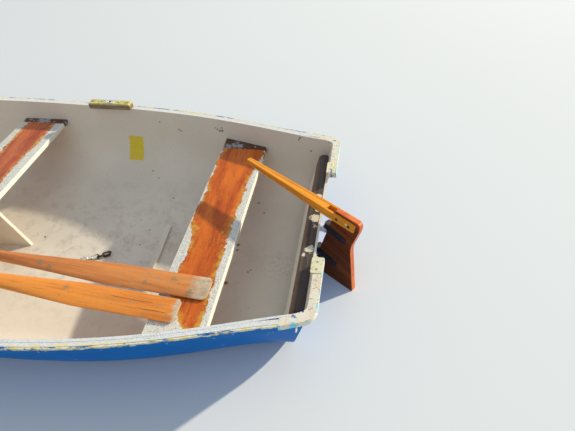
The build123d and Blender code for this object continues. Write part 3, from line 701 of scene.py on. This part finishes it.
def wood(name, pale_tone, dark_tone, along, upward=(0, 0, 1), coarse=1.4, across=16.0, lines=0.6):
    made = Finish(name)
    made.lie = made.grain_place(along, upward, coarse, across)
    figure = made.noise(1.3, 5.0, 0.6, made.lie, 0.5)
    fine = made.noise(6.5, 6.0, 0.7, made.lie)
    made.ground(made.band(figure, 0.34, 0.66), pale_tone, dark_tone)
    made.over(made.band(fine, 0.52, 0.64), shade(dark_tone, 0.42), lines)
    made.bump(fine, 0.0006, 0.5)
    return made


# The transom doubler: a dark hardwood board across the inside of the transom, cracked along its
# grain and with flakes of old cream paint on its top. Below a dark upper band its front is
# glassed over in gelcoat.
rake = radians(15)
doubler_low, doubler_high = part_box("transom_doubler")


def below_top(place):
    return doubler_high.z - place.z


def ahead_of_face(place):
    """Distance ahead of the doubler's aft face, across its thickness."""
    return (place.x - doubler_low.x) * cos(rake) - below_top(place) * sin(rake)


doubler = wood("doubler_wood", (0.085, 0.062, 0.054), (0.036, 0.026, 0.024), (0, 1, 0), across=22)
fore_arris = doubler.rough(doubler.measure("ahead_of_face"), 30, 0.022)
doubler.over(doubler.band(fore_arris, 0.029, 0.037), (0.17, 0.095, 0.06), 0.85)
doubler.over(doubler.marks(0.60, 0.64, 2.6, 6.0, 0.7, doubler.lie), (0.10, 0.065, 0.05))
flakes = doubler.spots([(0.060, -0.125, 0.249, 0.030), (0.056, -0.055, 0.249, 0.018),
                        (0.060, -0.010, 0.249, 0.036), (0.055, 0.030, 0.249, 0.016),
                        (0.060, 0.143, 0.249, 0.030), (0.078, 0.170, 0.247, 0.014)], 0.5, 0.56, 0.05,
                       doubler.marks(0.69, 0.72, 40, 8.0, 0.72))
doubler.over(flakes, (0.76, 0.68, 0.54), 0.92)
doubler.bump(flakes, 0.0008, 0.6)
lower = doubler.rough(doubler.measure("below_top"), 26, 0.012)
on_front = doubler.band(doubler.measure("ahead_of_face"), 0.030, 0.038)
doubler.over(doubler.times(doubler.band(lower, 0.052, 0.057), on_front), (0.76, 0.69, 0.58))
dark_oak = doubler.done(0.72)
softened(dress("transom_doubler", [dark_oak], flat=True,
               measures=(ahead_of_face, below_top)), 0.004, 3)
bolt_height = 0.222
bolt_lines = [("transom_doubler", (0.6, y, bolt_height), (-1, 0, 0)) for y in (-0.30, -0.10, 0.10, 0.30)]
fasteners("doubler_bolts", bolt_lines, rusty, radius=0.0065, height=0.0024,
          slot_width=0.0016)


# The thwarts: one varnished board each on short bearers bonded to the sides. The varnish is worn
# orange, and the edges keep wide ragged margins of old cream paint with ochre between them.
def thwart_finish(which, aft_margin, fore_margin, end_y, colours, spots=()):
    """The finish of a thwart. Each margin is the width of its paint as points of (y, width), and
    the starboard end, beyond end_y, has patches of cream paint over varnish, painted in the dark grey
    and dark brown that the gunwale's shadow gives them: painted shade."""
    bright, deep, ochre_tone = colours
    aft, fore = (corner.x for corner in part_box("thwart_" + which))
    made = wood(which + "_thwart_varnish", bright, deep, (0, 1, 0), coarse=2.2, across=13, lines=0.45)
    made.over(made.marks(0.54, 0.64, 2.1, 6.0, 0.65, made.lie), shade(deep, 0.5), 0.55)
    flecks = made.times(made.marks(0.50, 0.64, 95, 8.0, 0.75), made.marks(0.38, 0.62, 8))
    made.over(flecks, tuple((b + o) / 2 for b, o in zip(bright, ochre_tone)), 0.6)
    pits = made.marks(0.60, 0.68, 120, 6.0, 0.7, made.stretched((1, 0.5, 1), (2, 3, 1)))
    made.over(pits, shade(deep, 0.35), 0.5)
    along = made.axis("Y")
    wander = made.rough(made.ragged(24, 0.056), 110, 0.014)
    from_aft = made.math("SUBTRACT", made.axis("X"), aft)
    from_fore = made.math("SUBTRACT", fore, made.axis("X"))
    most = 0.16
    spare_aft, spare_fore = (
        made.math("SUBTRACT", made.math("ADD", distance, wander), made.profile(along, margin, most))
        for distance, margin in ((from_aft, aft_margin), (from_fore, fore_margin)))
    spare = made.math("MINIMUM", spare_aft, spare_fore)
    worn_through = made.times(made.band(spare, 0.026, 0.004), made.marks(0.44, 0.54, 60, 8.0, 0.72),
                              made.marks(0.34, 0.52, 9))
    made.over(made.spots(spots, 0.5, 1.0, 0.05, worn_through), ochre_tone)
    chips = made.marks(0.715, 0.73, 34, 6.0, 0.62, made.stretched((1, 0.7, 1), (4, 2, 0)))
    paint = made.math("MAXIMUM", made.band(spare, 0.0015, -0.0015), chips)
    gritty = made.marks(0.42, 0.66, 230, 4.0, 0.7)
    arris = made.band(made.math("MINIMUM", from_aft, from_fore), 0.0055, 0.0035)
    cream_paint = made.mix(gritty, (0.80, 0.78, 0.73), (0.42, 0.40, 0.36))
    made.over(paint, made.mix(arris, cream_paint, (0.90, 0.85, 0.72)))
    # Painted shade: the starboard end's paint patches and varnish are painted dark grey and dark brown, as
    # the gunwale's shadow makes them.
    shaded_end = made.band(made.rough(along, 40, 0.02), 0.001 - end_y, -0.001 - end_y)
    shaded_end_patches = made.marks(0.44, 0.48, 11, 8.0, 0.7)
    made.over(shaded_end, made.mix(shaded_end_patches, (0.34, 0.35, 0.38), (0.11, 0.045, 0.025)))
    made.bump(paint, 0.0007, 0.6)
    return made.done(made.band(paint, 0, 1, 0.42, 0.64), coat=0.05, shine=0.25)


orange = ((0.72, 0.165, 0.015), (0.50, 0.080, 0.010), (0.62, 0.32, 0.045))
stern_aft = [(-0.60, 0.0), (-0.42, 0.002), (-0.40, 0.008), (-0.30, 0.025), (-0.15, 0.034), (0.0, 0.036),
             (0.10, 0.030), (0.32, 0.030), (0.45, 0.026), (0.60, 0.026)]
stern_fore = [(-0.60, 0.003), (-0.30, 0.004), (-0.16, 0.012), (-0.05, 0.000), (0.03, 0.008), (0.08, 0.028),
              (0.14, 0.040), (0.20, 0.038), (0.30, 0.034), (0.36, 0.046), (0.42, 0.095), (0.48, 0.130),
              (0.60, 0.14)]
stern_spots = [(0.538, 0.032, 0.19, 0.014), (0.520, 0.040, 0.19, 0.010), (0.415, 0.05, 0.19, 0.006)]
redder = ((0.60, 0.15, 0.05), (0.42, 0.075, 0.026), (0.66, 0.40, 0.10))
even = [(-0.66, 0.040), (-0.50, 0.036), (-0.30, 0.044), (-0.10, 0.036), (0.10, 0.044), (0.30, 0.036),
        (0.50, 0.044), (0.66, 0.036)]
turned_even = [(-y, width) for y, width in reversed(even)]
centre_aft = [(y, width + 0.006) for y, width in even]
mast_aft, mast_fore = ([(y, width * share) for y, width in margin]
                       for margin, share in ((even, 0.7), (turned_even, 0.6)))
varnishes = {"stern": (thwart_finish("stern", stern_aft, stern_fore, 0.478, orange, stern_spots), 0.500),
             "centre": (thwart_finish("centre", centre_aft, even, 0.604, redder,
                                      [(1.515, -0.43, 0.19, 0.010)]), 0.618),
             "mast": (thwart_finish("mast", mast_aft, mast_fore, 0.475, redder), 0.370)}
thwart_lines = []
for which, (finish, reach) in varnishes.items():
    node = "thwart_" + which
    softened(dress(node, [finish], flat=True), 0.002)
    aft, fore = (corner.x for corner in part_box(node))
    thwart_lines += [down(node, aft + (fore - aft) * share, side * reach) for share in (0.25, 0.75)
                     for side in (-1, 1)]
fasteners("thwart_screws", thwart_lines, brass, radius=0.0055, height=0.0010, slot_width=0.0011)

# The bearers, the web under the centre thwart and the rib on the floor: glassed in, and finished
# with the same gelcoat as the inside.
glassed = Finish("gelcoat_fittings")
glassed.ground(glassed.marks(0.3, 0.7, 6, 3.0, 0.5), (0.84, 0.77, 0.65), (0.76, 0.69, 0.58))
grain = glassed.noise(330, 3.0, 0.6)
glassed.over(glassed.band(grain, 0.50, 0.70), (0.55, 0.46, 0.36), 0.25)
glassed.bump(grain, 0.0006, 0.5)
gelcoat_fittings = glassed.done(0.5)
for node in ("riser_port", "riser_starboard", "centre_web", "floor_rib"):
    softened(dress(node, [gelcoat_fittings]), 0.0012)

# The centreboard case: a glassed box open below, with a slotted hardwood cap screwed down on it.
# The board itself is varnished ply, raised in the case on its pin.
dress("centreboard_case", [gelcoat_fittings])
fitting_wood = wood("fitting_wood", (0.56, 0.22, 0.07), (0.34, 0.11, 0.035), (1, 0, 0))
fitting_varnish = fitting_wood.done(0.4, coat=0.15)
softened(dress("case_cap", [fitting_varnish], flat=True), 0.002)
case_lines = [down("case_cap", x, y) for x in (1.76, 1.88, 2.15, 2.27) for y in (-0.034, 0.034)]
fasteners("case_cap_screws", case_lines, brass, radius=0.0045, height=0.0010, slot_width=0.001)
board_wood = wood("board_wood", (0.56, 0.24, 0.08), (0.34, 0.11, 0.04), (1, 0, 0), (0, 1, 0))
softened(dress("centreboard", [board_wood.done(0.4, coat=0.15)]), 0.0012)
dress("centreboard_pin", [galvanised])

# The mast and its step: a round varnished spruce spar that stands free in a hardwood step on the
# floor, rubbed dark where it passes through its thwart.
softened(dress("mast_step", [fitting_varnish], flat=True), 0.002)
spar = wood("spar_spruce", (0.78, 0.48, 0.19), (0.60, 0.31, 0.10), (0, 0, 1), (0, 1, 0), coarse=0.8,
            across=26)
from_thwart = spar.math("ABSOLUTE", spar.math("SUBTRACT", spar.axis("Z"), 0.18))
spar.over(spar.band(from_thwart, 0.05, 0.02), (0.24, 0.13, 0.06), 0.35)
dress("mast", [spar.done(0.32, coat=0.3)])
step_lines = [down("mast_step", x, y) for x in (2.392, 2.508) for y in (-0.038, 0.038)]
fasteners("step_screws", step_lines, brass, radius=0.005, height=0.0014)

# The rudder's hangings: two galvanised gudgeons bolted to the transom, and two dark straps that
# wrap the rudder's front edge and carry the pins.
gudgeon_lines = []
for node, height in (("gudgeon_upper", 0.105), ("gudgeon_lower", -0.038)):
    softened(dress(node, [galvanised]), 0.0006)
    gudgeon_lines += [(node, (-0.4, y, height), (1, 0, 0.26)) for y in (-0.028, 0.028)]
fasteners("gudgeon_bolts", gudgeon_lines, galvanised, radius=0.0055, height=0.0022,
          slot_width=0.0014)
hinge = Vector((-sin(rake), 0, cos(rake)))
turned_by = radians(35)
rudder_ahead = Matrix.Rotation(-turned_by, 3, hinge) @ Vector((cos(rake), 0, sin(rake)))
rudder_side = hinge.cross(rudder_ahead)
pintle_foot = Vector((-0.006012, 0, 0.291582))


def across_rudder(node, middle, side):
    """A line square on to one side of the rudder."""
    return node, middle + rudder_side * side * 0.1, rudder_side * -side


strap_lines = []
for node, height, reach in (("pintle_upper", -0.062, 0.096), ("pintle_lower", -0.200, 0.104)):
    softened(dress(node, [tarnished]), 0.0008)
    for share in (0.40, 0.68, 0.90):
        middle = pintle_foot + hinge * height - rudder_ahead * reach * share
        strap_lines += [across_rudder(node, middle, side) for side in (-1, 1)]
fasteners("strap_bolts", strap_lines, tarnished, radius=0.0048, height=0.0020,
          body="rudder")


# The rudder: one red-brown varnished board, with fine dark lines fore and aft and a redder head.
# Its sides are painted darker than the wood, as painted shade with a painted reflection of dark water,
# and its edge is painted bright as painted light.
def up_the_hinge(place):
    return (place - pintle_foot).dot(hinge)


def rudder_part(face):
    """0 for the board's two sides and 1 for its edge."""
    return int(abs(face.normal.dot(rudder_side)) < 0.7)


# Painted shade: the sides' tones are darker than the wood's own. They stand for the shade and the dark
# water reflected in the sides.
shaded_board = wood("rudder_wood", (0.27, 0.066, 0.012), (0.16, 0.034, 0.006), rudder_ahead, hinge, coarse=1.2,
             across=20, lines=0.7)
shaded_board.over(shaded_board.band(shaded_board.measure("up_the_hinge"), 0.030, 0.046), (0.50, 0.10, 0.035), 0.6)
shaded_board.over(shaded_board.marks(0.50, 0.68, 9, 6.0, 0.65, shaded_board.lie), (0.12, 0.035, 0.02), 0.4)
rough_height = shaded_board.rough(shaded_board.axis("Z"), 20, 0.03)
shaded_board.over(shaded_board.band(rough_height, 0.03, -0.02), (0.13, 0.06, 0.03), 0.5)
rudder_red_painted_shade = shaded_board.done(0.45, shine=0.15)
# Painted light: the edge is painted much brighter than the sides, as where the light falls on it.
edge_wood_painted_light = wood("rudder_rim_painted_light", (0.80, 0.20, 0.05), (0.60, 0.12, 0.035), hinge, rudder_ahead, lines=0.4)
rudder_rim_painted_light = edge_wood_painted_light.done(0.45, coat=0.05, shine=0.3)
softened(dress("rudder_board", [rudder_red_painted_shade, rudder_rim_painted_light], rudder_part, flat=True,
               measures=(up_the_hinge,)), 0.003, 3)

# The tiller: two honey-varnished slats either side of the head, glued up with a core ahead of it
# and bolted through, with dark glue lines along the sides.
droop = radians(11)
tiller_ahead = rudder_ahead * cos(droop) - hinge * sin(droop)
tiller_up = hinge * cos(droop) + rudder_ahead * sin(droop)
tiller_root = pintle_foot + hinge * 0.006


def up_the_tiller(place):
    return (place - tiller_root).dot(tiller_up)


tiller = wood("tiller_wood", (0.90, 0.36, 0.018), (0.70, 0.22, 0.010), tiller_ahead, tiller_up, coarse=1.0,
              across=20, lines=0.55)
glue = tiller.rough(tiller.measure("up_the_tiller"), 20, 0.003)
glue_line = tiller.times(tiller.band(glue, -0.0042, -0.0030), tiller.band(glue, -0.0006, -0.0018))
tiller.over(glue_line, (0.17, 0.045, 0.01), 0.7)
pale_spot = tiller.near((-0.059, 0.062, 0.302), 0.003, 0.007, tiller.ragged(110, 0.006))
tiller.over(pale_spot, (0.90, 0.62, 0.40))
tiller.over(tiller.marks(0.68, 0.71, 70, 6.0, 0.7), (0.36, 0.14, 0.03), 0.5)
tiller_honey = tiller.done(0.42, coat=0.06, shine=0.3)
for node in ("tiller_slat_port", "tiller_slat_starboard", "tiller_core"):
    softened(dress(node, [tiller_honey], flat=True, measures=(up_the_tiller,)), 0.0012)
tiller_lines = [across_rudder("tiller_slat_" + word, tiller_root + tiller_ahead * back, side)
                for back in (-0.088, -0.034) for word, side in sides]
fasteners("tiller_bolts", tiller_lines, tarnished, radius=0.0062, height=0.0022,
          slot_width=0.0014, body="rudder")


# The oars: long spruce oars laid on the thwarts, blades aft. The varnish is bright on the shafts
# and greyed at the blades' tips, with mildew spots where it has let the water in.
def oar_finish(name, tip, heading, bright, deep, grey_run, spots, cracks=()):
    """The finish of an oar whose blade ends at x = tip. A crack is (start x, end x, a point on it)."""
    along = Vector((cos(heading), sin(heading), 0.015))
    beside = Vector((0, 0, 1)).cross(along).normalized()
    made = wood(name, bright, deep, along, coarse=1.1, across=18, lines=0.3)
    run_out = made.rough(made.axis("X"), 34, 0.09)
    weathered = made.times(made.band(run_out, tip + grey_run, tip + grey_run * 0.35),
                           made.band(made.noise(5, 5.0, 0.7, made.lie), 0.36, 0.6, 0.55, 1.0))
    made.over(weathered, made.mix(made.noise(120, 5.0), (0.72, 0.66, 0.52), (0.38, 0.33, 0.24)))
    mildew = made.times(made.marks(0.53, 0.62, 48, 6.0, 0.7),
                        made.band(made.axis("X"), tip + 0.42, tip + 0.15))
    made.over(mildew, (0.30, 0.27, 0.17), 0.45)
    made.over(made.marks(0.67, 0.71, 150, 3.0, 0.5), (0.12, 0.09, 0.06), 0.6)
    spot_edge = made.ragged(110, 0.045)
    for *place, radius in spots:
        made.over(made.near(place, 0.0, radius * 0.9, spot_edge), (0.20, 0.18, 0.12), 0.75)
    for start, stop, place in cracks:
        aside = made.math("SUBTRACT", made.far_along(beside), Vector(place).dot(beside))
        wander = made.rough(aside, 14, 0.010)
        crack = made.times(made.band(made.math("ABSOLUTE", wander), 0.0012, 0.0005),
                           made.band(made.axis("X"), start - 0.01, start + 0.01),
                           made.band(made.axis("X"), stop + 0.01, stop - 0.01))
        made.over(crack, (0.06, 0.03, 0.02), 0.9)
    made.bump(made.noise(3.4, 6.0, 0.7, made.lie), 0.0010, 0.6)
    return made.done(0.5, coat=0.05, shine=0.3)


inboard_finish = oar_finish(
    "oar_weathered", 0.385, -0.048, (0.72, 0.27, 0.07), (0.50, 0.155, 0.04), 0.085,
    [(1.039, 0.297, 0.219, 0.024), (0.995, 0.312, 0.214, 0.020), (0.62, 0.325, 0.205, 0.016),
     (0.52, 0.30, 0.203, 0.020), (0.45, 0.345, 0.2, 0.024)])
outboard_finish = oar_finish(
    "oar_bright", 0.466, -0.049, (0.86, 0.30, 0.045), (0.66, 0.19, 0.025), 0.030,
    [(0.888, 0.384, 0.211, 0.018)],
    [(0.56, 0.71, (0.63, 0.398, 0.205)), (0.50, 0.60, (0.55, 0.430, 0.2))])
dress("oar_inboard", [inboard_finish])
dress("oar_outboard", [outboard_finish])

# The rowlock pads: bare hardwood blocks on the flange, mossy yellow-green on top, each with a
# galvanised plate screwed down round the brass sleeve that takes the rowlock's pin.
pad_x, pad_y, pad_top = 1.178, 0.6435, 0.308
pad = wood("pad_wood", (0.40, 0.34, 0.20), (0.22, 0.16, 0.10), (1, 0, 0), coarse=3, across=20)
moss = pad.mix(pad.marks(0.40, 0.62, 45, 6.0, 0.7), (0.70, 0.66, 0.24), (0.42, 0.38, 0.12))
pad.over(pad.band(pad.measure("below_sheer"), -0.018, -0.030), moss)
rust_edge = pad.ragged(110, 0.02)
for x in (1.085, 1.272):
    for _, side in sides:
        pad.over(pad.near((x, side * pad_y, pad_top), 0.006, 0.014, rust_edge), (0.42, 0.13, 0.05), 0.8)
bare_pad = pad.done(0.8)
plate_length, plate_width, plate_thickness = 0.052, 0.030, 0.0025
plate_sunk, longest_reach = 0.0004, 0.027
sleeve_radius = 0.0092
plate_steps = 32


def plate_mesh(name, middle):
    """A thin plate round a hole, with its lower face just in the wood at middle."""
    shape = bmesh.new()
    rounds, squares = [], []
    for i in range(plate_steps):
        angle = 2 * pi * i / plate_steps
        out = Vector((cos(angle), sin(angle), 0))
        to_end = plate_length / 2 / max(abs(out.x), 1e-6)
        to_side = plate_width / 2 / max(abs(out.y), 1e-6)
        rounds.append(middle + out * sleeve_radius)
        squares.append(middle + out * min(to_end, to_side, longest_reach))
    inner_low, inner_high, outer_low, outer_high = (
        [shape.verts.new(p + Vector((0, 0, rise))) for p in ring]
        for ring in (rounds, squares) for rise in (-plate_sunk, plate_thickness))
    for i in range(plate_steps):
        j = (i + 1) % plate_steps
        for a, b in ((inner_high, outer_high), (outer_high, outer_low), (outer_low, inner_low),
                     (inner_low, inner_high)):
            shape.faces.new((a[i], b[i], b[j], a[j]))
    bmesh.ops.recalc_face_normals(shape, faces=shape.faces)
    mesh = as_mesh(name, shape)
    mesh.materials.append(galvanised)
    return mesh


pad_lines = []
for word, side in sides:
    node = "rowlock_pad_" + word
    softened(dress(node, [bare_pad], flat=True, measures=(below_sheer,)), 0.003)
    dress("rowlock_sleeve_" + word, [brass])
    low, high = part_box("rowlock_sleeve_" + word)
    sleeve_top = Vector(((low.x + high.x) / 2, (low.y + high.y) / 2, high.z))
    name = "rowlock_plate_" + word
    softened(aboard(name, plate_mesh(name, sleeve_top)), 0.0006)
    pad_lines += [down(node, pad_x + shift, side * pad_y) for shift in (-0.044, 0.044)]
fasteners("pad_screws", pad_lines, rusty, radius=0.0045, height=0.0012)

# The chain on the floor: short galvanised links, rusty towards the after end, where it is made
# fast to a small iron snap.
rusty_from = 1.058
dress("chain", [galvanised, rusty], lambda face: int(face.center.x < rusty_from))


def wire_ring(name, points, radius, finish):
    """A closed piece bent up from round wire along a smooth line."""
    line = bpy.data.curves.new(name, "CURVE")
    line.dimensions = "3D"
    line.bevel_depth = radius
    line.bevel_resolution = 3
    line.resolution_u = 8
    spline = line.splines.new("NURBS")
    spline.points.add(len(points) - 1)
    for point, place in zip(spline.points, points):
        point.co = (*place, 1)
    spline.order_u = 3
    spline.use_cyclic_u = True
    mesh = made_plain(in_scene(name, line))
    for face in mesh.polygons:
        face.use_smooth = True
    mesh.materials.clear()
    mesh.materials.append(finish)
    aboard(name, mesh)


snap_end = Vector((1.030, 0.030, -0.0640))
snap_way = Vector((-0.78, -0.62, 0)).normalized() - Vector((0, 0, 0.05))
snap_side = Vector((0.62, -0.78, 0)).normalized()
loop = [(0.0, 0.0), (0.002, 0.009), (0.016, 0.010), (0.034, 0.006), (0.038, 0.0), (0.034, -0.006),
        (0.016, -0.010), (0.002, -0.009)]
snap_points = [snap_end + snap_way * a + snap_side * b for a, b in loop]
wire_ring("chain_snap", snap_points, 0.0028, rusty)

# The small metal at the hull's ends: a stem band under the bow cap with the bow eye on it, and a
# bent-wire hook screwed into the side below the port corner cap.
softened(dress("stem_band", [galvanised]), 0.0008)
dress("bow_eye", [galvanised])
dress("quarter_hook", [galvanised])
stem_lines = [("stem_band", (3.5, 0, z), (-1, 0, -0.25)) for z in (0.44, 0.35, 0.24, 0.17)]
fasteners("stem_band_screws", stem_lines, galvanised, radius=0.0045, height=0.0012)
